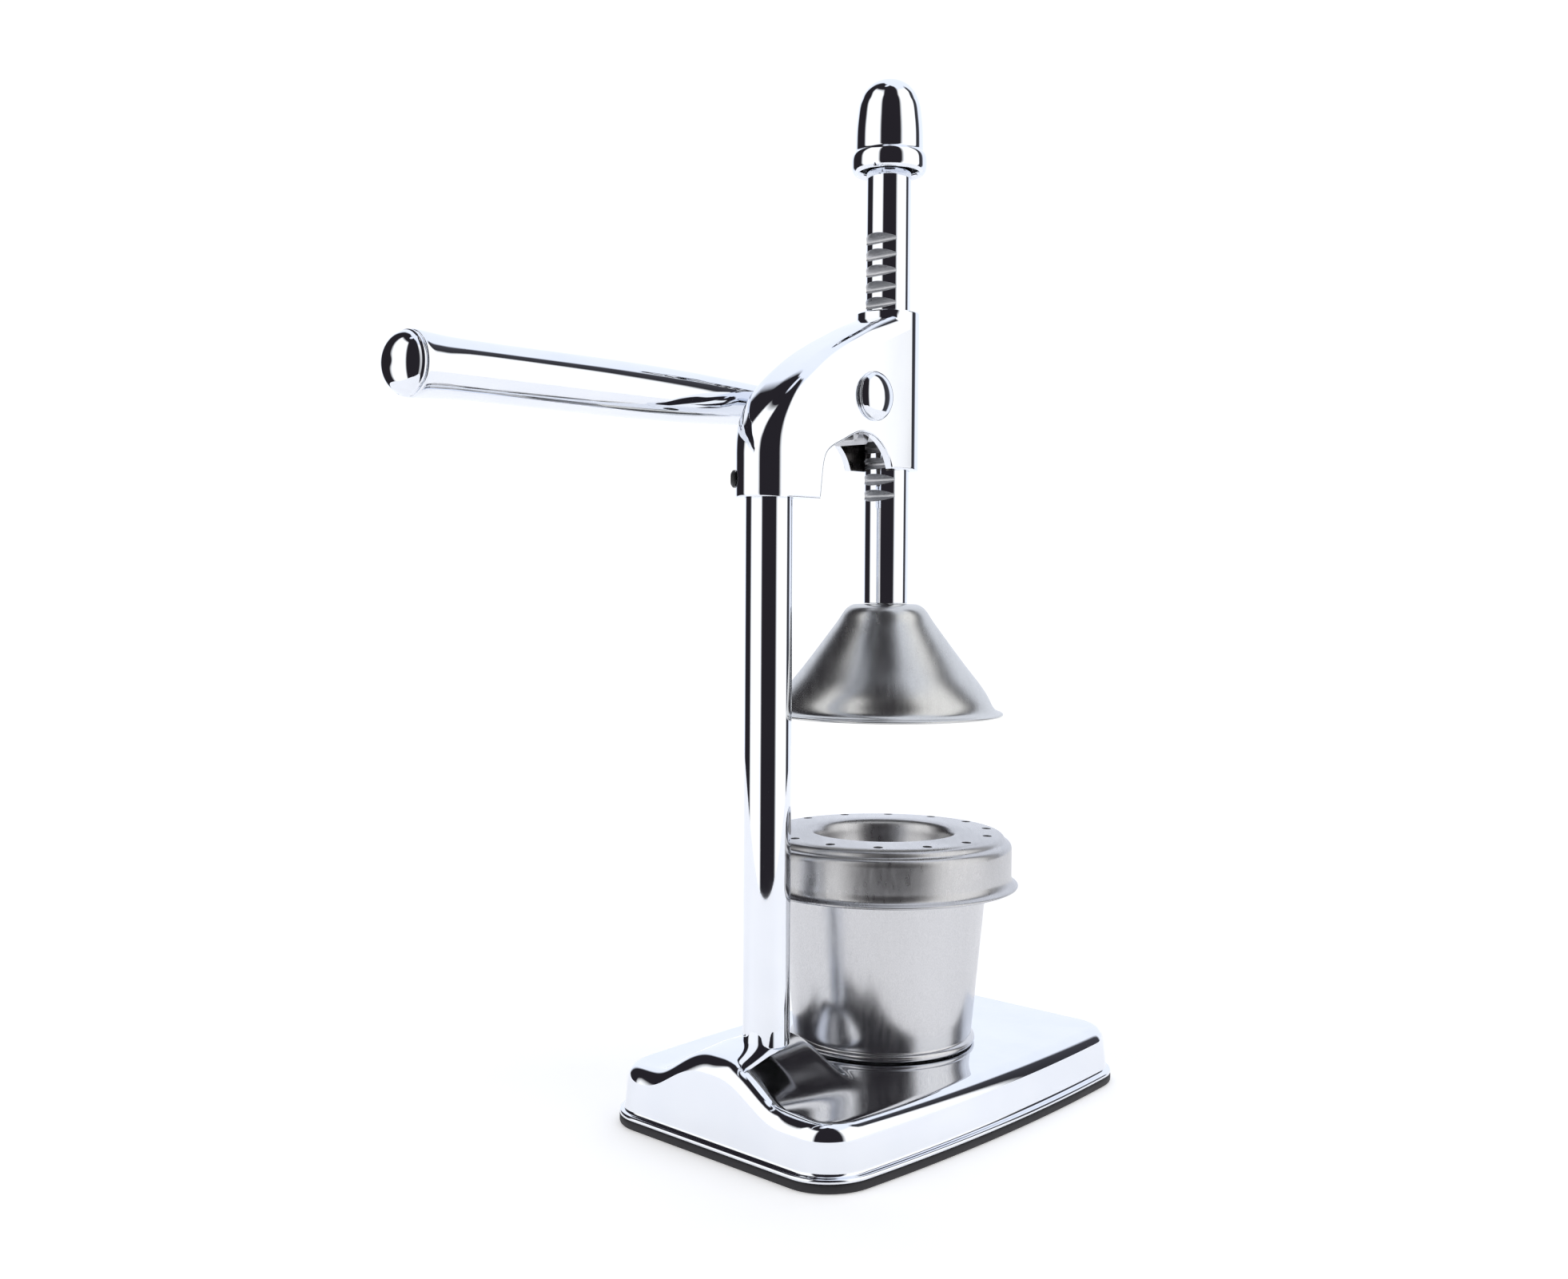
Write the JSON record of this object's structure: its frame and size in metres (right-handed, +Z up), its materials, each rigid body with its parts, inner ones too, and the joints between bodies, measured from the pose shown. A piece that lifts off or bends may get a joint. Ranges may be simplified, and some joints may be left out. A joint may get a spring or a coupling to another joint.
{
  "type": "citrus press juicer",
  "caption": "Hand-operated lever citrus press: a rack and pinion drives a steel press cone down onto a strainer lid over a tapered cup on a chromed base.",
  "frame": {"origin": "on the surface that the press stands on, straight under the axis of the press rod, cone, lid and cup", "axes": "+Z up along the press rod, -Y to the front, +Y to the column at the back, +X to the side that carries the handle"},
  "size_m": [0.1154, 0.2763, 0.3684],
  "materials": {
    "chrome": "mirror-polished chrome plate",
    "satin_steel": "satin stainless steel with fine brushing round its axis",
    "cut_steel": "machined, zinc-plated steel",
    "rubber": "matt black moulded rubber",
    "black_plastic": "matt black"
  },
  "bodies": {
    "base": {"base_shell": "chrome", "base_mat": "rubber", "reinforcing_plate": "cut_steel", "column_bolt": "cut_steel", "column_bolt_washer": "cut_steel", "column_tube": "chrome", "column_plug": "cut_steel", "head_casting": "chrome", "head_set_screw": "black_plastic"},
    "lever": {"pinion_gear": "cut_steel", "pinion_shaft": "cut_steel", "shaft_washer_cap_side": "chrome", "shaft_washer_handle_side": "chrome", "shaft_dome_cap": "chrome", "handle_hub": "chrome", "hub_bolt": "chrome", "hub_grub_screw": "cut_steel", "handle_arm": "cut_steel", "handle_grip": "chrome", "handle_end_cap": "chrome"},
    "press": {"rack_rod": "chrome", "rack_knob": "chrome", "knob_insert": "black_plastic", "press_cone": "satin_steel", "cone_washer": "cut_steel", "cone_screw": "cut_steel"},
    "cup": {"cup": "satin_steel"},
    "lid": {"strainer_lid": "satin_steel"}
  },
  "joints": [
    {"name": "handle_turn", "type": "hinge", "parent": "base", "child": "lever", "pos_m": [0, 0.02074, 0.2529], "axis": [-1, 0, 0], "range_deg": [-162, 58]},
    {"name": "rod_slide", "type": "slide", "parent": "base", "child": "press", "axis": [0, 0, 1], "range_m": [-0.0413, 0.0148]},
    {"name": "cup_slide", "type": "slide", "parent": "base", "child": "cup", "axis": [0, -1, 0], "range_m": [0, 0.06]},
    {"name": "lid_turn", "type": "hinge", "parent": "cup", "child": "lid", "pos_m": [0, 0, 0.09], "axis": [0, 0, 1], "continuous": true}
  ],
  "couplings": [
    {"joint": "rod_slide", "follows": "handle_turn", "m_per_rad": 0.01456}
  ]
}
